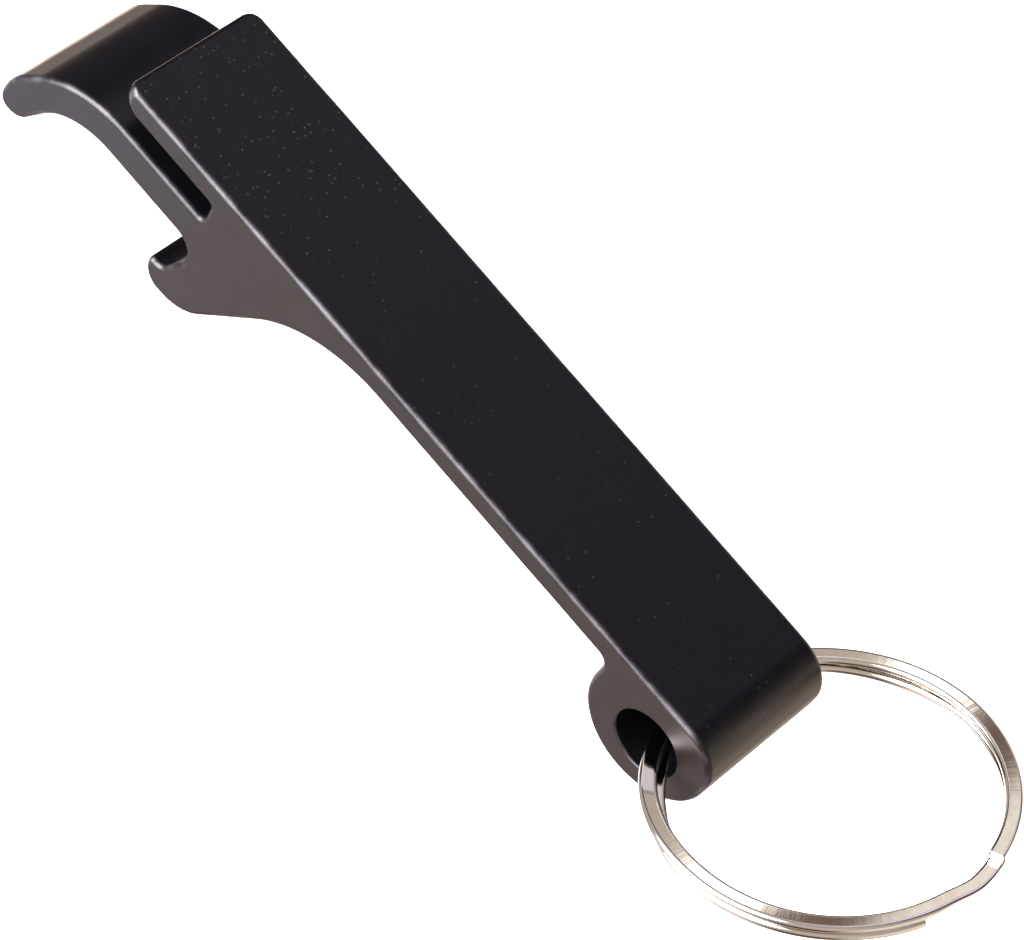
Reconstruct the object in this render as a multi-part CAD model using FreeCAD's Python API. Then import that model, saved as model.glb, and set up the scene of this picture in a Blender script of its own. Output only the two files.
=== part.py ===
import FreeCAD, Part
import math
import os

# Keychain bottle opener: an extruded aluminium opener with a split ring through its tail.
# Millimetres. +X runs from head to tail, +Y across the width, +Z out of the flat top face.
# The origin is the centre of the flat top face. The section is symmetric about Y = 0.

# ---- opener body: driving dimensions ----
width = 11.4                   # cut length of the extrusion
overall_length = 66.0          # lip to tail end
tail_end = 30.25               # X of the tail end
tail_corner = 3.25             # radius between the top face and the tail end
tab_end = -27.7                # X of the free end of the top tab
tab_thickness = 2.05
tab_top_radius = 0.55
tab_under_radius = 1.2
slot_height = 2.0              # gap that takes a can's ring-pull
slot_depth = 9.2               # from the tab's end to the slot's end
slot_corner = 0.45
arm_thickness = 3.2
arch_radius = 6.4              # hollow under the arm, over a cap's rim
arch_turn = 62.3               # degrees that the arch turns before the lip
arch_crown = -26.6             # X where the arch meets the arm's flat underside
lip_depth = 13.4               # lowest point of the lip, below the top face
lip_inner_radius = 1.55
lip_outer_radius = 1.0
brow_slope = 54.0              # degrees, the arm's outer slope above the lip
brow_height = 10.67            # depth at which that slope meets the lip's front
brow_lower_radius = 5.2
brow_upper_radius = 9.3
throat = -18.3                 # X of the wall at the back of the mouth
throat_radius = 1.45
throat_knee_depth = 9.35       # where the wall starts to lean into the hook
throat_knee_radius = 2.5
hook_depth = 11.8              # floor of the hook, below the top face
hook_corner = -19.45           # X where the hook's floor meets the leaning wall
hook_radius = 0.8
tooth_tip = -20.55             # X of the tooth's tip
tooth_tip_radius = 0.5
tooth_nose_radius = 1.62
tooth_depth = 14.0             # lowest point of the opener
heel_radius = 3.85
underside_slope = 54.6         # degrees, from the heel up to the handle bar
underside_corner = -8.2        # X where that slope would meet the bar's underside
underside_radius = 12.0
bar_thickness = 2.1
boss_width = 10.15
boss_depth = 9.3
boss_radius = 5.05
boss_root_radius = 0.78
bore_x = 25.55
bore_depth = 4.85              # bore axis, below the top face
bore_radius = 2.55
edge_radius = 0.45             # tumbled edges of both side faces
bore_edge = 0.2                # softened mouths of the bore

# ---- split ring: driving dimensions ----
ring_outer_radius = 12.0
wire_width = 1.2               # radial
wire_height = 0.6              # along the ring's axis
wire_corner = 0.27             # flattened round wire
coil_gap = 0.05                # hairline between the two coils
ring_reach = 10.98             # bore axis to ring centre, along the ring's plane
ring_drop = 0.27               # the ring's plane lies this far under the bore axis
ring_lift = 27.0               # degrees that the ring points above +X
ring_side = -0.4               # the ring sits a little to one side in the bore
joggle_place = 175.0           # degrees round the ring from the bore
joggle_turn = 18.0             # degrees that the wire takes to step over
joggle_steps = 6
end_gap = 8.0                  # degrees between each wire end and the joggle

ring_middle_radius = ring_outer_radius - wire_width / 2
layer_offset = (wire_height + coil_gap) / 2


def rounded_wire(corners):
    """Closed wire in the XZ plane from (x, z, radius) corners, each rounded by a tangent arc."""
    starts = []
    middles = []
    ends = []
    count = len(corners)
    for i in range(count):
        x, z, radius = corners[i]
        here = FreeCAD.Vector(x, 0, z)
        before = FreeCAD.Vector(corners[i - 1][0], 0, corners[i - 1][1])
        after = FreeCAD.Vector(corners[(i + 1) % count][0], 0, corners[(i + 1) % count][1])
        back = (before - here).normalize()
        ahead = (after - here).normalize()
        half = back.getAngle(ahead) / 2
        bisector = (back + ahead).normalize()
        reach = radius / math.tan(half)
        starts.append(here + back * reach)
        middles.append(here + bisector * (radius / math.sin(half) - radius))
        ends.append(here + ahead * reach)
    edges = []
    for i in range(count):
        edges.append(Part.Arc(starts[i], middles[i], ends[i]).toShape())
        edges.append(Part.makeLine(ends[i], starts[(i + 1) % count]))
    return Part.Wire(edges)


def opener_outline():
    """The extrusion's section, clockwise from the tab's upper corner."""
    boss_front = tail_end - boss_width
    heel = underside_corner - (tooth_depth - bar_thickness) / math.tan(math.radians(underside_slope))
    slot_end = tab_end + slot_depth
    slot_floor = tab_thickness + slot_height
    arm_underside = slot_floor + arm_thickness
    lip_front = tail_end - overall_length
    arch_corner = arch_crown - arch_radius * math.tan(math.radians(arch_turn / 2))
    lip_corner = arch_corner - (lip_depth - arm_underside) / math.tan(math.radians(arch_turn))
    brow_corner = lip_front + (brow_height - slot_floor) / math.tan(math.radians(brow_slope))
    return [
        (tab_end, 0, tab_top_radius),
        (tail_end, 0, tail_corner),
        (tail_end, -boss_depth, boss_radius),
        (boss_front, -boss_depth, boss_radius),
        (boss_front, -bar_thickness, boss_root_radius),
        (underside_corner, -bar_thickness, underside_radius),
        (heel, -tooth_depth, heel_radius),
        (tooth_tip, -tooth_depth, tooth_nose_radius),
        (tooth_tip, -hook_depth, tooth_tip_radius),
        (hook_corner, -hook_depth, hook_radius),
        (throat, -throat_knee_depth, throat_knee_radius),
        (throat, -arm_underside, throat_radius),
        (arch_corner, -arm_underside, arch_radius),
        (lip_corner, -lip_depth, lip_inner_radius),
        (lip_front, -lip_depth, lip_outer_radius),
        (lip_front, -brow_height, brow_lower_radius),
        (brow_corner, -slot_floor, brow_upper_radius),
        (slot_end, -slot_floor, slot_corner),
        (slot_end, -tab_thickness, slot_corner),
        (tab_end, -tab_thickness, tab_under_radius),
    ]


def opener_body():
    """The extrusion with its cross bore and softened edges."""
    face = Part.Face(rounded_wire(opener_outline()))
    face.translate(FreeCAD.Vector(0, -width / 2, 0))
    blank = face.extrude(FreeCAD.Vector(0, width, 0))
    rim = []
    for edge in blank.Edges:
        box = edge.BoundBox
        if box.YLength < 0.001:
            rim.append(edge)
    blank = blank.makeFillet(edge_radius, rim)
    axis = FreeCAD.Vector(0, 1, 0)
    start = FreeCAD.Vector(bore_x, -width, -bore_depth)
    drilled = blank.cut(Part.makeCylinder(bore_radius, 2 * width, start, axis))
    mouths = []
    for edge in drilled.Edges:
        circle = edge.Curve
        if isinstance(circle, Part.Circle) and abs(circle.Radius - bore_radius) < 0.001:
            mouths.append(edge)
    return drilled.makeChamfer(bore_edge, mouths)


def wire_section(angle, offset):
    """Rounded rectangular section of the ring's wire at an angle round the ring, in degrees."""
    inner = ring_middle_radius - wire_width / 2
    outer = ring_middle_radius + wire_width / 2
    low = offset - wire_height / 2
    high = offset + wire_height / 2
    wire = rounded_wire([
        (inner, low, wire_corner),
        (inner, high, wire_corner),
        (outer, high, wire_corner),
        (outer, low, wire_corner),
    ])
    wire.rotate(FreeCAD.Vector(0, 0, 0), FreeCAD.Vector(0, 0, 1), angle)
    return wire


def coil(start, turn, offset):
    """One flat coil of the wire, from a start angle through a turn, in degrees."""
    face = Part.Face(wire_section(start, offset))
    return face.revolve(FreeCAD.Vector(0, 0, 0), FreeCAD.Vector(0, 0, 1), turn)


def joggle(start):
    """The short length of wire that steps from the upper coil to the lower one."""
    sections = []
    for i in range(joggle_steps + 1):
        part = i / joggle_steps
        rise = math.cos(math.pi * part) * layer_offset
        sections.append(wire_section(start + joggle_turn * part, rise))
    return Part.makeLoft(sections, True, True)


def split_ring():
    """Two coils of one wire with a joggle between them, threaded through the bore."""
    step = 180 + joggle_place - joggle_turn / 2
    coil_turn = 360 - joggle_turn - end_gap
    upper = coil(step - coil_turn, coil_turn, layer_offset)
    lower = coil(step + joggle_turn, coil_turn, -layer_offset)
    ring = upper.fuse([joggle(step), lower]).removeSplitter()
    ring.translate(FreeCAD.Vector(ring_reach, ring_side, -ring_drop))
    ring.rotate(FreeCAD.Vector(0, 0, 0), FreeCAD.Vector(0, 1, 0), -ring_lift)
    ring.translate(FreeCAD.Vector(bore_x, 0, -bore_depth))
    return ring


os.makedirs("parts", exist_ok=True)
for name, build in [("opener_body", opener_body), ("split_ring", split_ring)]:
    shape = build().Solids[0]
    shape.exportStep("parts/" + name + ".step")
    print(name, "valid", shape.isValid(), "volume mm3", round(shape.Volume, 1))
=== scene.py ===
"""Looks of the keychain bottle opener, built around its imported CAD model.

The scene is in metres and in the CAD's frame: +X from head to tail, +Y across the width, +Z out of
the flat top face. The dimensions here are millimetres, scaled to metres as each mesh is made.
"""
import math

import bpy
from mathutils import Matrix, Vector, noise
from mathutils.geometry import tessellate_polygon


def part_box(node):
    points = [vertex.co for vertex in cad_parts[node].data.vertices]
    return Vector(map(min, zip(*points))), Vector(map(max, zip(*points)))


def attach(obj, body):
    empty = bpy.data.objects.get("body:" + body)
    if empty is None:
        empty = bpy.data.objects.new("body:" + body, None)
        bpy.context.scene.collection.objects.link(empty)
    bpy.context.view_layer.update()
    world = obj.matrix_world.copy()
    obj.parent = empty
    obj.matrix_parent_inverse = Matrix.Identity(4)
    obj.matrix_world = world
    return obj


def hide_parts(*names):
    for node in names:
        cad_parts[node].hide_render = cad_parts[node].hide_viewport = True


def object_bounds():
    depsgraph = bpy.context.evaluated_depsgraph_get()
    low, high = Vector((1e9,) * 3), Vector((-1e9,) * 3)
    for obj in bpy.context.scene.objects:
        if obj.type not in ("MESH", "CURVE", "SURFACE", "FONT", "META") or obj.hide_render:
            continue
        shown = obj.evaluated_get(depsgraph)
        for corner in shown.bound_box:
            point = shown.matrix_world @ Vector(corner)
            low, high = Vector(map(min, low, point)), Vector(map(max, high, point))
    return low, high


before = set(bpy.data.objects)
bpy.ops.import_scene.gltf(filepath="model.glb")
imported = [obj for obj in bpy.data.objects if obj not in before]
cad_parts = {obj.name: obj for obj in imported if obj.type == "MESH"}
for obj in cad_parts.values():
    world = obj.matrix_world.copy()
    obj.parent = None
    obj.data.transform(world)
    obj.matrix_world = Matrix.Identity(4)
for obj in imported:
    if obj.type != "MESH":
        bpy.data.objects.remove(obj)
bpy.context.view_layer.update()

MM = 0.001
SEED = 7.3                     # shifts the noise along the softened edges
QUARTER = math.radians(90)
ACROSS = Vector((0, 1, 0))

# ---- the opener's section, as the CAD has it, in millimetres ----
body_low, body_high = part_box("opener_body")
HALF_WIDTH = (body_high.y - body_low.y) / 2 / MM
LIP_FRONT = body_low.x / MM
TAIL_END = body_high.x / MM
TOOTH_DEPTH = -body_low.z / MM
TAB_END = -27.7
TAB_THICKNESS = 2.05
SLOT_FLOOR = 4.05
SLOT_DEPTH = 9.2
SLOT_END = TAB_END + SLOT_DEPTH
ARM_UNDERSIDE = 7.25
ARCH_CROWN = -26.6
ARCH_RADIUS = 6.4
ARCH_TURN = math.radians(62.3)
ARCH_CORNER = ARCH_CROWN - ARCH_RADIUS * math.tan(ARCH_TURN / 2)
LIP_DEPTH = 13.4
LIP_CORNER = ARCH_CORNER - (LIP_DEPTH - ARM_UNDERSIDE) / math.tan(ARCH_TURN)
BROW_HEIGHT = 10.67
BROW_SLOPE = math.radians(54)
BROW_CORNER = LIP_FRONT + (BROW_HEIGHT - SLOT_FLOOR) / math.tan(BROW_SLOPE)
THROAT = -18.3
THROAT_KNEE_DEPTH = 9.35
HOOK_CORNER = -19.45
HOOK_DEPTH = 11.8
TOOTH_TIP = -20.55
BAR_THICKNESS = 2.1
BAR_CORNER = -8.2
UNDERSIDE_SLOPE = math.radians(54.6)
HEEL = BAR_CORNER - (TOOTH_DEPTH - BAR_THICKNESS) / math.tan(UNDERSIDE_SLOPE)
BOSS_WIDTH = 10.15
BOSS_FRONT = TAIL_END - BOSS_WIDTH
BOSS_DEPTH = 9.3
BOSS_RADIUS = 5.05
BORE_X = 25.55
BORE_DEPTH = 4.85
BORE_RADIUS = 2.55
BORE_EDGE = 0.2
EDGE_RADIUS = 0.45
TAB_CORNER = 1.0               # radius of the tab's free corners, in plan
TAB_CORNER_STOP = 0.13         # their arcs stop this far from the side faces
TAB_CORNER_REACH = 3           # no point farther than this behind the tab's end moves
TAB_CORNER_FADE = 2            # the move fades out over this length

# the section's corners: (x, z, rounding radius)
SECTION = [
    (TAB_END, 0, 0.55),
    (TAIL_END, 0, 3.25),
    (TAIL_END, -BOSS_DEPTH, BOSS_RADIUS),
    (BOSS_FRONT, -BOSS_DEPTH, BOSS_RADIUS),
    (BOSS_FRONT, -BAR_THICKNESS, 0.78),
    (BAR_CORNER, -BAR_THICKNESS, 12.0),
    (HEEL, -TOOTH_DEPTH, 3.85),
    (TOOTH_TIP, -TOOTH_DEPTH, 1.62),
    (TOOTH_TIP, -HOOK_DEPTH, 0.5),
    (HOOK_CORNER, -HOOK_DEPTH, 0.8),
    (THROAT, -THROAT_KNEE_DEPTH, 2.5),
    (THROAT, -ARM_UNDERSIDE, 1.45),
    (ARCH_CORNER, -ARM_UNDERSIDE, ARCH_RADIUS),
    (LIP_CORNER, -LIP_DEPTH, 1.55),
    (LIP_FRONT, -LIP_DEPTH, 1.0),
    (LIP_FRONT, -BROW_HEIGHT, 5.2),
    (BROW_CORNER, -SLOT_FLOOR, 9.3),
    (SLOT_END, -SLOT_FLOOR, 0.45),
    (SLOT_END, -TAB_THICKNESS, 0.45),
    (TAB_END, -TAB_THICKNESS, 1.2),
]

# ---- how the opener is meshed ----
CHORD = 0.6                    # longest step along the section, millimetres
SWEEP = math.radians(5)        # largest turn between two of its points
FLAT_STEPS = 14                # steps across the width, between the tab's corners
EDGE_STEPS = 6                 # steps round each softened edge
BORE_SIDES = 72
BORE_STEPS = 10
BORE_EDGE_STEPS = 4
CORNER_PARTS = (0.62, 0.76, 0.88, 1.0)   # rows within the tab's corners, as parts of TAB_CORNER
EDGE_MARGIN = 1.12             # the flat rows start this many edge radii from the side faces
BORE_MARGIN = 1.3              # and the bore's wall this many mouth radii
BORE_WEAR = 0.6                # the bore's mouths wear less than the outer edges

# ---- the split ring, in millimetres and degrees ----
# Angles run round the ring from its point farthest from the bore, and 90 is towards +Y. The wire
# starts with the upper coil, steps down through the joggle, and goes on past 360 as the lower coil.
RING_OUTER = 11.985
WIRE_WIDTH = 1.2
WIRE_HEIGHT = 0.6
WIRE_CORNER = 0.27
WIRE_END = 0.05                # length of the rounding at the wire's cut ends
COIL_GAP = 0.05
RING_REACH = 10.98
RING_DROP = 0.27
RING_LIFT = math.radians(27)
RING_SIDE = -0.4
JOGGLE_START = 346.0
JOGGLE_TURN = 18.0
COIL_TURN = 334.0
RING_STEPS = 520
SECTION_STEPS = 8              # steps round each corner of the wire's section
END_STEPS = 3

# The coils are sprung apart in two places: (middle, reach either way) of each, in degrees.
SPRING = 0.28                  # drop of the lower coil, on the far side
SPRING_PLACE = (105, 45)
SPREAD = 0.2                   # shift of the upper coil outward, beside the bore's near mouth
UPPER_SPREAD_PLACE = (225, 40)
LOWER_SPREAD_PLACE = (212, 45)


# ---------------------------------------------------------------- helpers
def smooth(value):
    """0 up to 0, 1 from 1, with a smooth step between."""
    value = min(max(value, 0), 1)
    return value * value * (3 - 2 * value)


def rounded_outline(corners, chord, sweep):
    """Points and outward normals along a closed section whose corners are rounded by tangent arcs."""
    count = len(corners)
    arcs = []
    for i in range(count):
        x, z, radius = corners[i]
        here = Vector((x, z))
        back = (Vector(corners[i - 1][:2]) - here).normalized()
        ahead = (Vector(corners[(i + 1) % count][:2]) - here).normalized()
        half = back.angle(ahead) / 2
        centre = here + (back + ahead).normalized() * (radius / math.sin(half))
        start = here + back * (radius / math.tan(half))
        end = here + ahead * (radius / math.tan(half))
        arcs.append((start, end, centre, radius))
    points = []
    for i in range(count):
        start, end, centre, radius = arcs[i]
        first = start - centre
        turn = first.angle_signed(end - centre)
        steps = max(3, math.ceil(abs(turn) / sweep), math.ceil(abs(turn) * radius / chord))
        convex = 1 if turn > 0 else -1
        for k in range(steps + 1):
            angle = -turn * k / steps
            spoke = Vector((first.x * math.cos(angle) - first.y * math.sin(angle),
                            first.x * math.sin(angle) + first.y * math.cos(angle)))
            normal = spoke.normalized() * convex
            points.append((centre + spoke, normal))
        following = arcs[(i + 1) % count][0]
        run = following - end
        pieces = max(1, math.ceil(run.length / chord))
        normal = points[-1][1]
        for k in range(1, pieces):
            points.append((end + run * k / pieces, normal))
    return points


def band_faces(first, count, rows, flip=False):
    """Quads between neighbouring rows, each a closed loop of count points, numbered from first."""
    faces = []
    for r in range(rows - 1):
        low = first + r * count
        high = low + count
        for i in range(count):
            j = (i + 1) % count
            if flip:
                faces.append((low + i, high + i, high + j, low + j))
            else:
                faces.append((low + i, low + j, high + j, high + i))
    return faces


def add_object(name, data):
    """An object with this mesh or camera data, linked to the scene."""
    made = bpy.data.objects.new(name, data)
    bpy.context.scene.collection.objects.link(made)
    return made


def make_mesh(name, verts, faces, normals, attributes):
    """A smooth object in metres from millimetre points, with exact normals and point attributes."""
    mesh = bpy.data.meshes.new(name)
    mesh.from_pydata([Vector(v) * MM for v in verts], [], faces)
    mesh.validate()
    for label, values in attributes.items():
        layer = mesh.attributes.new(label, "FLOAT", "POINT")
        layer.data.foreach_set("value", values)
    mesh.polygons.foreach_set("use_smooth", [True] * len(mesh.polygons))
    mesh.normals_split_custom_set_from_vertices([tuple(n) for n in normals])
    return add_object(name, mesh)


# ---------------------------------------------------------------- opener body
def edge_radius_at(x, z, side):
    """Tumbling leaves the edge radius slightly uneven along the rim."""
    wave = noise.noise(Vector((x * 0.35, z * 0.35, side * 5 + SEED)))
    ripple = noise.noise(Vector((x * 1.6, z * 1.6, side * 9 - SEED)))
    return EDGE_RADIUS * (1 + 0.06 * wave + 0.03 * ripple)


def tab_setback(x, y, z):
    """How far the tab's free end is drawn back near its rounded corners."""
    fade_end = TAB_END + TAB_CORNER_REACH
    if z < -TAB_THICKNESS - 0.01 or x > fade_end:
        return 0
    # the arc stops short of the side face, where it would run parallel to it
    inward = max(HALF_WIDTH - abs(y), TAB_CORNER_STOP)
    if inward > TAB_CORNER:
        return 0
    back = TAB_CORNER - math.sqrt(TAB_CORNER ** 2 - (TAB_CORNER - inward) ** 2)
    return back * smooth((fade_end - x) / TAB_CORNER_FADE)


def rows_across(edge_steps, middle):
    """Rows across the width as (place, phi): a quarter turn at -Y, the middle, a quarter turn at +Y.

    In a softened edge phi is the turn towards the side face, and place is the side, -1 or 1.
    In the middle phi is None.
    """
    rows = [(-1, QUARTER * (1 - k / edge_steps)) for k in range(edge_steps + 1)]
    rows += [(place, None) for place in middle]
    rows += [(1, QUARTER * k / edge_steps) for k in range(edge_steps + 1)]
    return rows


def skin_rows():
    """The outer skin's rows, closer together where the tab's corners are rounded."""
    flat = HALF_WIDTH - EDGE_RADIUS * EDGE_MARGIN
    corner_rows = [HALF_WIDTH - TAB_CORNER * part for part in CORNER_PARTS]
    middle = [-y for y in corner_rows]
    middle += [corner_rows[-1] * (-1 + 2 * k / FLAT_STEPS) for k in range(1, FLAT_STEPS)]
    middle += list(reversed(corner_rows))
    return rows_across(EDGE_STEPS, [-flat] + middle + [flat])


def skin_point(point, normal, place, phi):
    """One point of the outer skin: position, normal, how far it faces the side, and edge wear."""
    x, z = point
    if phi is None:
        return (x + tab_setback(x, place, z), place, z), (normal.x, 0, normal.y), 0, 0
    radius = edge_radius_at(x, z, place)
    inset = radius * (1 - math.cos(phi))
    y = place * (HALF_WIDTH - radius + radius * math.sin(phi))
    vert = (x - normal.x * inset + tab_setback(x, y, z), y, z - normal.y * inset)
    facing = (normal.x * math.cos(phi), place * math.sin(phi), normal.y * math.cos(phi))
    return vert, facing, math.sin(phi) ** 2, math.sin(2 * phi) ** 2


def bore_point(turn, place, phi):
    """One point of the bore's wall or of its softened mouths, as skin_point gives them."""
    cx, cz = math.cos(turn), math.sin(turn)
    if phi is None:
        radius = BORE_RADIUS
        y = place * (HALF_WIDTH - BORE_EDGE * BORE_MARGIN)
        outward, inward = 0, -1
        side, wear = 0, 0
    else:
        radius = BORE_RADIUS + BORE_EDGE * (1 - math.cos(phi))
        y = place * (HALF_WIDTH - BORE_EDGE + BORE_EDGE * math.sin(phi))
        outward, inward = place * math.sin(phi), -math.cos(phi)
        side, wear = math.sin(phi) ** 2, math.sin(2 * phi) ** 2
    vert = (BORE_X + cx * radius, y, -BORE_DEPTH + cz * radius)
    return vert, (cx * inward, outward, cz * inward), side, wear * BORE_WEAR


def turn_corner_normals(outline, row_count, verts, normals):
    """Points that the tab's corners drew back take their normals from the neighbouring points."""
    count = len(outline)
    for r in range(1, row_count - 1):
        for i in range(count):
            here = r * count + i
            if tab_setback(outline[i][0].x, verts[here][1], outline[i][0].y) > 0:
                along = Vector(verts[r * count + (i + 1) % count]) - Vector(verts[r * count + i - 1])
                over = Vector(verts[here + count]) - Vector(verts[here - count])
                facing = along.cross(over).normalized()
                normals[here] = tuple(facing if facing.dot(Vector(normals[here])) > 0 else -facing)


def side_face(verts, rim, rim_count, hole, flip):
    """Triangles of one side face: the section's rim, less the bore's mouth."""
    loop = list(range(rim, rim + rim_count))
    mouth = list(range(hole, hole + BORE_SIDES))
    index = loop + mouth
    faces = []
    for tri in tessellate_polygon([[Vector((verts[v][0], verts[v][2], 0)) for v in part]
                                   for part in (loop, mouth)]):
        corners = [index[t] for t in tri]
        a, b, c = [Vector((verts[v][0], verts[v][2])) for v in corners]
        area = (b - a).cross(c - a)
        if abs(area) < 1e-9:
            continue
        upward = area > 0
        faces.append(tuple(corners) if upward == flip else tuple(reversed(corners)))
    return faces


def opener_mesh():
    """The opener: outer skin, bore wall and the two side faces, closed into one surface."""
    outline = rounded_outline(SECTION, CHORD, SWEEP)
    count = len(outline)
    rows = skin_rows()
    points = [skin_point(point, normal, place, phi) for place, phi in rows for point, normal in outline]
    bore_first = len(points)
    bore_rows = rows_across(BORE_EDGE_STEPS, [-1 + 2 * k / BORE_STEPS for k in range(1, BORE_STEPS)])
    for place, phi in bore_rows:
        for i in range(BORE_SIDES):
            points.append(bore_point(2 * math.pi * i / BORE_SIDES, place, phi))
    verts, normals, side_mask, wear = [list(column) for column in zip(*points)]
    turn_corner_normals(outline, len(rows), verts, normals)

    faces = band_faces(0, count, len(rows))
    faces += band_faces(bore_first, BORE_SIDES, len(bore_rows))
    last_row = (len(rows) - 1) * count
    last_bore = bore_first + (len(bore_rows) - 1) * BORE_SIDES
    faces += side_face(verts, 0, count, bore_first, True)
    faces += side_face(verts, last_row, count, last_bore, False)
    return make_mesh("opener_shell", verts, faces, normals, {"side": side_mask, "wear": wear})


# ---------------------------------------------------------------- split ring
def ring_frame():
    """Centre, in-plane direction away from the bore, and axis of the ring, in millimetres."""
    away = Vector((math.cos(RING_LIFT), 0, math.sin(RING_LIFT)))
    axis = Vector((-math.sin(RING_LIFT), 0, math.cos(RING_LIFT)))
    centre = Vector((BORE_X, RING_SIDE, -BORE_DEPTH)) + away * RING_REACH - axis * RING_DROP
    return centre, away, axis


def wire_section(steps):
    """Flattened wire: (radial, axial, normal) round a rectangle with rounded corners."""
    section = []
    reach = WIRE_WIDTH / 2 - WIRE_CORNER
    rise = WIRE_HEIGHT / 2 - WIRE_CORNER
    for quarter, (across, up_down) in enumerate([(1, 1), (-1, 1), (-1, -1), (1, -1)]):
        for k in range(steps + 1):
            angle = QUARTER * (quarter + k / steps)
            normal = Vector((math.cos(angle), math.sin(angle)))
            radial = across * reach + WIRE_CORNER * normal.x
            axial = up_down * rise + WIRE_CORNER * normal.y
            section.append((radial, axial, normal))
    return section


def near_place(angle, place):
    """1 at a place round the ring, falling smoothly to 0 at its reach either way."""
    middle, reach = place
    return smooth(1 - abs(angle - middle) / reach)


def wire_rise(angle):
    """Height of the wire's centre above the ring's middle plane: joggle, and the lower coil's drop."""
    layer = (WIRE_HEIGHT + COIL_GAP) / 2
    part = (angle - JOGGLE_START) / JOGGLE_TURN
    part = min(max(part, 0), 1)
    sprung = 0
    if angle > 360:
        sprung = near_place(angle - 360, SPRING_PLACE)
    return layer * math.cos(math.pi * part) - SPRING * sprung


def wire_shift(angle):
    """How far the coils are sprung apart beside the bore's near mouth: upper out, lower in."""
    if angle < JOGGLE_START:
        return SPREAD * near_place(angle, UPPER_SPREAD_PLACE)
    return -2 * SPREAD * near_place(angle - 360, LOWER_SPREAD_PLACE)


def wire_stations():
    """Sections along the wire: (angle, scale, tip). Both cut ends are rounded by shrinking ones."""
    start = JOGGLE_START - COIL_TURN
    total = 2 * COIL_TURN + JOGGLE_TURN
    middle = RING_OUTER - WIRE_WIDTH / 2
    stations = [(start + total * k / RING_STEPS, 1.0, 0.0) for k in range(RING_STEPS + 1)]
    for k in range(1, END_STEPS + 1):
        phi = QUARTER * k / END_STEPS
        beyond = math.degrees(WIRE_END * math.sin(phi) / middle)
        shrink = 1 - WIRE_END * (1 - math.cos(phi)) / (WIRE_HEIGHT / 2)
        stations.insert(0, (start - beyond, shrink, -math.sin(phi)))
        stations.append((start + total + beyond, shrink, math.sin(phi)))
    return stations


def ring_mesh():
    """The ring's one wire, swept along its two coils and joggle, with a cap at each end."""
    centre, away, axis = ring_frame()
    section = wire_section(SECTION_STEPS)
    count = len(section)
    middle = RING_OUTER - WIRE_WIDTH / 2
    stations = wire_stations()
    verts, normals, along = [], [], []
    for angle, scale, tip in stations:
        turn = math.radians(angle)
        spoke = away * math.cos(turn) + ACROSS * math.sin(turn)
        forward = ACROSS * math.cos(turn) - away * math.sin(turn)
        rise = wire_rise(angle)
        spine = middle + wire_shift(angle)
        for radial, axial, normal in section:
            place = centre + spoke * (spine + radial * scale) + axis * (rise + axial * scale)
            verts.append(tuple(place))
            side = (spoke * normal.x + axis * normal.y) * (1 - abs(tip)) + forward * tip
            normals.append(tuple(side.normalized()))
            along.append(angle)
    faces = band_faces(0, count, len(stations), flip=True)
    tail = (len(stations) - 1) * count
    faces.append(tuple(range(count)))
    faces.append(tuple(reversed(range(tail, tail + count))))
    return make_mesh("split_ring_wire", verts, faces, normals, {"along": along})


# ---------------------------------------------------------------- materials
def node(tree, kind, inputs=None, **settings):
    """A new shader node. Each input is either linked from a socket or set to a value."""
    made = tree.nodes.new(kind)
    for key, value in settings.items():
        setattr(made, key, value)
    for key, value in (inputs or {}).items():
        if isinstance(value, bpy.types.NodeSocket):
            tree.links.new(value, made.inputs[key])
        else:
            made.inputs[key].default_value = value
    return made


def math_node(tree, operation, a, b=0.0, c=0.0):
    """The result of a Math node."""
    return node(tree, "ShaderNodeMath", {0: a, 1: b, 2: c}, operation=operation).outputs[0]


def mix_colour(tree, factor, a, b):
    """Colour a where the factor is 0 and b where it is 1. Sockets 6 and 7 are the Mix node's colours."""
    return node(tree, "ShaderNodeMix", {0: factor, 6: a, 7: b}, data_type="RGBA").outputs[2]


def mix_value(tree, factor, a, b):
    """Value a where the factor is 0 and b where it is 1. Sockets 2 and 3 are the Mix node's values."""
    return node(tree, "ShaderNodeMix", {0: factor, 2: a, 3: b}, data_type="FLOAT").outputs[0]


def ramp(tree, value, low, high):
    """0 below low, 1 above high, smooth between. Sockets 0 to 4: value, from low, from high, to 0, to 1."""
    made = node(tree, "ShaderNodeMapRange", {0: value, 1: low, 2: high, 3: 0.0, 4: 1.0},
                interpolation_type="SMOOTHSTEP")
    return made.outputs[0]


def noise_at(tree, vector, scale, detail, roughness):
    """Procedural noise, about 0 to 1."""
    made = node(tree, "ShaderNodeTexNoise",
                {"Vector": vector, "Scale": scale, "Detail": detail, "Roughness": roughness})
    return made.outputs["Fac"]


def mapped(tree, vector, **inputs):
    """A vector after a Mapping node."""
    return node(tree, "ShaderNodeMapping", {"Vector": vector, **inputs}).outputs[0]


def point_value(tree, label):
    """The value that the mesh carries at each point under this label."""
    return node(tree, "ShaderNodeAttribute", attribute_name=label).outputs["Fac"]


def object_place(tree):
    """Position in the piece's own space, in metres."""
    return node(tree, "ShaderNodeTexCoord").outputs["Object"]


def empty_material(name):
    """A material with no nodes yet, and its tree."""
    material = bpy.data.materials.new(name)
    material.use_nodes = True
    material.node_tree.nodes.clear()
    return material, material.node_tree


def surface_material(name):
    """A material with one principled shader, its tree and that shader."""
    material, tree = empty_material(name)
    shader = tree.nodes.new("ShaderNodeBsdfPrincipled")
    output = tree.nodes.new("ShaderNodeOutputMaterial")
    tree.links.new(shader.outputs[0], output.inputs[0])
    return material, tree, shader


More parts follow.
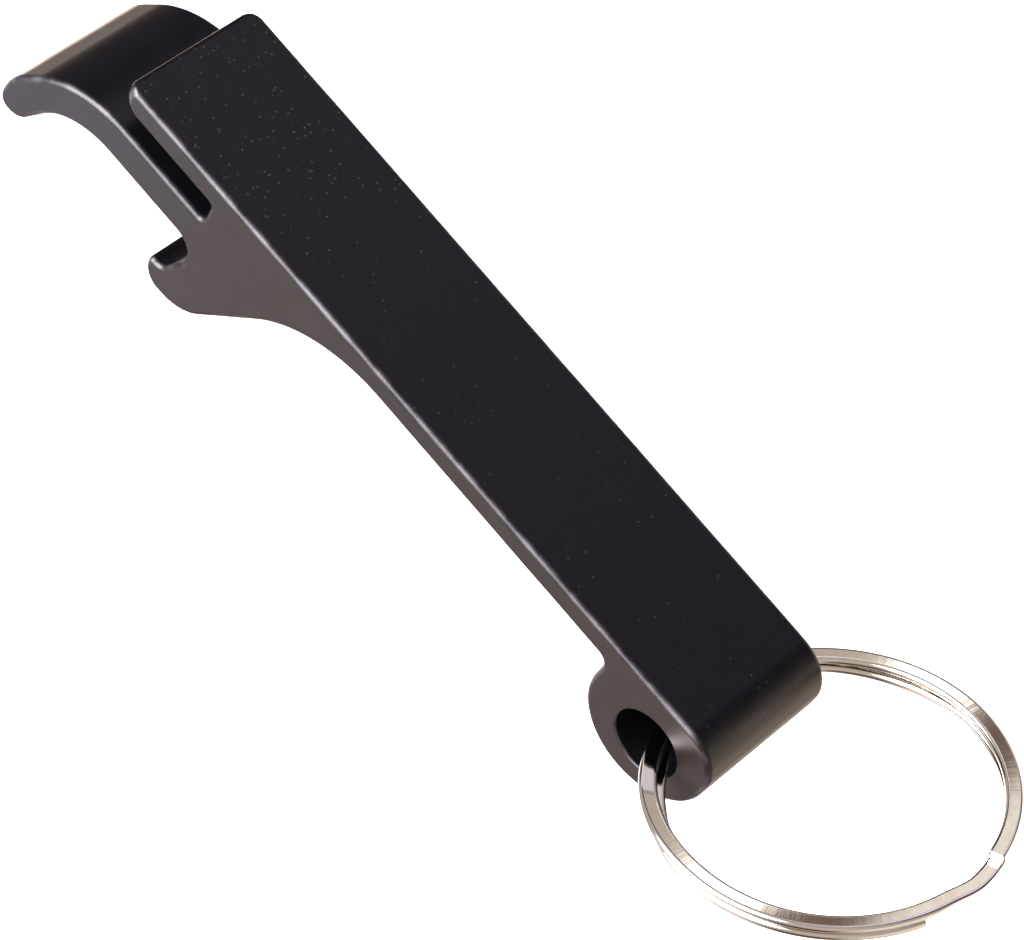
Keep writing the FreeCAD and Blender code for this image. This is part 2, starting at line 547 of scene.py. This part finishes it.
def link_bump(tree, shader, height, strength):
    """Fine relief of the surface's normal. It moves no geometry."""
    bump = node(tree, "ShaderNodeBump", {"Strength": strength, "Distance": 0.00002, "Height": height})
    tree.links.new(bump.outputs[0], shader.inputs["Normal"])


def anodised_black():
    """Black anodised aluminium: satin, greyer and browner on the sawn side faces, worn at the edges; the
    side faces carry a painted cooler reflection near the lip.
    """
    material, tree, shader = surface_material("black_anodised")
    place = object_place(tree)
    side = point_value(tree, "side")
    wear = point_value(tree, "wear")
    grain = noise_at(tree, place, 6500, 2, 0.6)
    mottle = noise_at(tree, place, 420, 4, 0.6)
    cloud = noise_at(tree, place, 90, 3, 0.5)
    # lines left by the extrusion die run across the width, and saw lines run along the side faces
    die_lines = noise_at(tree, mapped(tree, place, Scale=(1, 0.04, 1)), 2600, 3, 0.6)
    along_face = mapped(tree, place, Scale=(0.12, 1, 1), Rotation=(0, 0.5, 0))
    saw_lines = noise_at(tree, along_face, 1900, 3, 0.6)

    # pale specks on the top face, most of them near the tab
    cells = node(tree, "ShaderNodeTexVoronoi", {"Vector": place, "Scale": 3000.0, "Randomness": 1.0},
                 feature="F1")
    pick = node(tree, "ShaderNodeTexWhiteNoise", {"Vector": cells.outputs["Position"]}).outputs[0]
    dot = ramp(tree, cells.outputs["Distance"], 0.34, 0.16)
    spot = node(tree, "ShaderNodeSeparateXYZ", {0: place})
    near_tab = ramp(tree, spot.outputs["X"], -0.004, -0.024)
    chance = math_node(tree, "MULTIPLY_ADD", near_tab, 0.20, pick)
    speck = math_node(tree, "MULTIPLY", dot, ramp(tree, chance, 0.91, 1.03))
    off_side = ramp(tree, side, 0.30, 0.02)
    up_top = ramp(tree, spot.outputs["Z"], -0.003, -0.001)
    on_top = math_node(tree, "MULTIPLY", off_side, up_top)
    speck = math_node(tree, "MULTIPLY", speck, on_top)

    # colour: the dyed skin, the side faces (warm, with a painted cool reflection near the lip), worn edges,
    # specks
    dyed = mix_colour(tree, mottle, (0.0066, 0.0060, 0.0078, 1), (0.0100, 0.0092, 0.0118, 1))
    # painted reflection: the side faces are made cooler near the lip, for the cooler light they mirror
    # there, and fade to their own warm tone behind it
    cool_reflection_paint = (0.0225, 0.0190, 0.0215, 1)
    patch = ramp(tree, cloud, 0.3, 0.75)
    warm = mix_colour(tree, patch, (0.0200, 0.0140, 0.0122, 1), (0.0188, 0.0135, 0.0120, 1))
    behind_lip = ramp(tree, spot.outputs["X"], -0.028, -0.016)
    side_tone_and_reflection = mix_colour(tree, behind_lip, cool_reflection_paint, warm)
    base = mix_colour(tree, side, dyed, side_tone_and_reflection)
    wear_patch = math_node(tree, "MULTIPLY", wear, ramp(tree, mottle, 0.35, 0.72))
    worn_part = math_node(tree, "MULTIPLY", wear_patch, 0.28)
    base = mix_colour(tree, worn_part, base, (0.30, 0.285, 0.30, 1))
    speck_part = math_node(tree, "MULTIPLY", speck, 0.42)
    base = mix_colour(tree, speck_part, base, (0.11, 0.105, 0.115, 1))
    tree.links.new(base, shader.inputs["Base Color"])

    rough = math_node(tree, "MULTIPLY_ADD", mottle, 0.13, 0.21)
    rough = math_node(tree, "MULTIPLY_ADD", side, 0.09, rough)
    rough = math_node(tree, "MULTIPLY_ADD", grain, 0.05, rough)
    tree.links.new(rough, shader.inputs["Roughness"])
    shader.inputs["IOR"].default_value = 1.48

    lines = mix_value(tree, side, die_lines, saw_lines)
    height = math_node(tree, "MULTIPLY_ADD", lines, 0.6, grain)
    height = math_node(tree, "MULTIPLY_ADD", speck, 0.8, height)
    link_bump(tree, shader, height, 0.35)
    return material


def nickel():
    """Bright nickel plate, slightly uneven along the wire."""
    material, tree, shader = surface_material("nickel_plated")
    place = object_place(tree)
    along = point_value(tree, "along")
    mottle = noise_at(tree, place, 900, 3, 0.6)
    fine = noise_at(tree, place, 9000, 2, 0.6)
    tone = mix_colour(tree, mottle, (0.80, 0.77, 0.73, 1), (0.70, 0.665, 0.62, 1))
    tree.links.new(tone, shader.inputs["Base Color"])
    shader.inputs["Metallic"].default_value = 1.0
    rough = math_node(tree, "MULTIPLY_ADD", mottle, 0.06, 0.05)
    tree.links.new(rough, shader.inputs["Roughness"])
    wire_place = node(tree, "ShaderNodeCombineXYZ", {0: along, 1: 0.0, 2: 0.0}).outputs[0]
    waver = noise_at(tree, wire_place, 0.35, 3, 0.6)
    height = math_node(tree, "MULTIPLY_ADD", fine, 0.06, waver)
    link_bump(tree, shader, height, 0.1)
    return material


def pale_floor():
    """Matt white that glows a little, so that it stays white under the dim room."""
    material, tree, shader = surface_material("studio_floor")
    place = object_place(tree)
    mottle = noise_at(tree, place, 30, 3, 0.5)
    tone = mix_colour(tree, mottle, (0.86, 0.86, 0.86, 1), (0.84, 0.84, 0.84, 1))
    tree.links.new(tone, shader.inputs["Base Color"])
    shader.inputs["Roughness"].default_value = 0.9
    shader.inputs["Emission Color"].default_value = (1, 1, 1, 1)
    shader.inputs["Emission Strength"].default_value = 0.42
    return material


# ---------------------------------------------------------------- assembly
shell = opener_mesh()
shell.data.materials.append(anodised_black())
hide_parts("opener_body")
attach(shell, "opener")

wire = ring_mesh()
wire.data.materials.append(nickel())
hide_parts("split_ring")
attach(wire, "ring")

# ---------------------------------------------------------------- floor
HALF_FLOOR = 4.0               # metres, unlike the pieces
WALL_HEIGHT = 3.0              # metres
WALL_SIDES = 48

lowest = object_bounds()[0].z
floor_mesh = bpy.data.meshes.new("floor")
floor_mesh.from_pydata([(-HALF_FLOOR, -HALF_FLOOR, lowest), (HALF_FLOOR, -HALF_FLOOR, lowest),
                        (HALF_FLOOR, HALF_FLOOR, lowest), (-HALF_FLOOR, HALF_FLOOR, lowest)],
                       [], [(0, 1, 2, 3)])
floor_mesh.materials.append(pale_floor())
floor = add_object("floor", floor_mesh)
floor.visible_glossy = False

# a pale wall round the floor, so that low views end in the same white; only the camera sees it
wall_verts = []
for height in (lowest, lowest + WALL_HEIGHT):
    for i in range(WALL_SIDES):
        bearing = 2 * math.pi * i / WALL_SIDES
        wall_verts.append((HALF_FLOOR * math.cos(bearing), HALF_FLOOR * math.sin(bearing), height))
wall_mesh = bpy.data.meshes.new("backdrop")
wall_mesh.from_pydata(wall_verts, [], band_faces(0, WALL_SIDES, 2))
wall_mesh.materials.append(floor_mesh.materials[0])
wall = add_object("backdrop", wall_mesh)
for flag in ("visible_glossy", "visible_diffuse", "visible_transmission", "visible_shadow"):
    setattr(wall, flag, False)


# ---------------------------------------------------------------- light
# (azimuth, elevation, full inside this many degrees, none beyond this many, colour)
PANELS = [
    (94, 56, 22, 40, (0.05, 0.048, 0.053)),
    (128, 54, 13, 25, (0.42, 0.39, 0.46)),
    (70, 2, 26, 42, (0.62, 0.61, 0.60)),
    (34, -2, 22, 40, (1.02, 0.84, 0.69)),
    (50, -52, 8, 24, (0.58, 0.50, 0.42)),
    (-8, 0, 18, 34, (0.46, 0.42, 0.38)),
    (-125, 14, 14, 40, (7.8, 7.7, 8.2)),
    (-58, 28, 15, 28, (0.34, 0.295, 0.26)),
    (-48, -28, 10, 20, (0.09, 0.065, 0.05)),
    (-94, -58, 15, 24, (0.51, 0.435, 0.40)),
    (-122, -50, 8, 24, (0.76, 0.76, 0.82)),
    (150, -76, 12, 28, (0.22, 0.18, 0.15)),
    (143, -30, 6, 14, (0.13, 0.09, 0.07)),
    (132, -54, 16, 25, (1.6, 1.38, 1.24)),
    (118, -6, 9, 16, (0.06, 0.055, 0.055)),
    (112, -28, 11, 18, (0.06, 0.055, 0.055)),
    (148, -8, 8, 16, (0.05, 0.045, 0.045)),
    (146, 18, 10, 22, (0.03, 0.028, 0.03)),
]
ROOM = (0.27, 0.25, 0.24)

# A soft banded card stands over the ring, parallel to it, and shows only in glossy reflections.
# Its place is (away from the bore, towards +Y) from the ring's centre. Millimetres.
CARD_HEIGHT = 110.0
CARD_PLACE = (-59.3, 82.6)
CARD_REACH = 22.5
CARD_SLANT = 0.064             # the bands' lean, as a slope
CARD_BANDS = [                 # (where the band starts, where it is full, colour from there on)
    (-5.4, -3.6, (1.0, 0.99, 0.98)),
    (3.7, 5.3, (0.11, 0.08, 0.065)),
    (12.6, 14.4, (0.47, 0.45, 0.425)),
]
CARD_BASE = (0.29, 0.26, 0.235)


def card_light():
    """The card's glow, in soft bands across it."""
    material, tree = empty_material("card_light")
    place = point_value(tree, "across")
    colour = (*CARD_BASE, 1)
    for low, high, tint in CARD_BANDS:
        colour = mix_colour(tree, ramp(tree, place, low, high), colour, (*tint, 1))
    glow = node(tree, "ShaderNodeEmission", {"Color": colour, "Strength": 1.0})
    output = node(tree, "ShaderNodeOutputMaterial")
    tree.links.new(glow.outputs[0], output.inputs[0])
    return material


def reflector_card():
    """The light card whose bands the ring's flat top mirrors."""
    centre, away, axis = ring_frame()
    middle = centre + axis * CARD_HEIGHT + away * CARD_PLACE[0] + Vector((0, CARD_PLACE[1], 0))
    verts, across = [], []
    for u, v in [(-1, -1), (1, -1), (1, 1), (-1, 1)]:
        verts.append(tuple(middle + away * (CARD_REACH * u) + Vector((0, CARD_REACH * v, 0))))
        across.append(CARD_REACH * (u + CARD_SLANT * v))
    card = make_mesh("reflector_card", verts, [(0, 1, 2, 3)], [tuple(-axis)] * 4, {"across": across})
    card.data.materials.append(card_light())
    for flag in ("visible_camera", "visible_diffuse", "visible_transmission", "visible_shadow"):
        setattr(card, flag, False)


def studio_world():
    """A dim room with broad soft panels, each a smooth patch over the ones before it."""
    world = bpy.data.worlds.new("studio")
    world.use_nodes = True
    tree = world.node_tree
    tree.nodes.clear()
    direction = node(tree, "ShaderNodeTexCoord").outputs["Generated"]
    colour = (*ROOM, 1)
    for azimuth, elevation, inner, outer, tint in PANELS:
        bearing, climb = math.radians(azimuth), math.radians(elevation)
        aim = (math.cos(bearing) * math.cos(climb), math.sin(bearing) * math.cos(climb), math.sin(climb))
        facing = node(tree, "ShaderNodeVectorMath", {0: direction, 1: aim}, operation="DOT_PRODUCT")
        nothing, full = math.cos(math.radians(outer)), math.cos(math.radians(inner))
        lit = ramp(tree, facing.outputs["Value"], nothing, full)
        colour = mix_colour(tree, lit, colour, (*tint, 1))
    background = node(tree, "ShaderNodeBackground", {"Color": colour, "Strength": 1.0})
    output = node(tree, "ShaderNodeOutputWorld")
    tree.links.new(background.outputs[0], output.inputs[0])
    bpy.context.scene.world = world


studio_world()
reflector_card()
view = bpy.context.scene.view_settings
view.view_transform = "Standard"
view.exposure = 1.3
view.gamma = 0.74

# ---------------------------------------------------------------- camera
AZIMUTH, ELEVATION, ROLL = (math.radians(a) for a in (13.14, 56.27, 38.0))
TARGET = Vector((6.83, -1.56, -2.0)) * MM
DISTANCE = 267.06 * MM
FOCAL_LENGTH = 147.3           # millimetres on the sensor
SENSOR_WIDTH = 36

forward = Vector((-math.sin(AZIMUTH) * math.cos(ELEVATION), math.cos(AZIMUTH) * math.cos(ELEVATION),
                  -math.sin(ELEVATION)))
level = forward.cross(Vector((0, 0, 1))).normalized()
upright = level.cross(forward)
right = level * math.cos(ROLL) + upright * math.sin(ROLL)
up = upright * math.cos(ROLL) - level * math.sin(ROLL)
camera_data = bpy.data.cameras.new("camera")
camera_data.lens = FOCAL_LENGTH
camera_data.sensor_width = SENSOR_WIDTH
camera_data.clip_start = 0.01
camera_data.clip_end = 20
camera = add_object("camera", camera_data)
axes = camera.matrix_world.to_3x3()
axes.col[0], axes.col[1], axes.col[2] = right, up, -forward
camera.matrix_world = axes.to_4x4()
camera.location = TARGET - forward * DISTANCE
bpy.context.scene.camera = camera

bpy.context.view_layer.update()
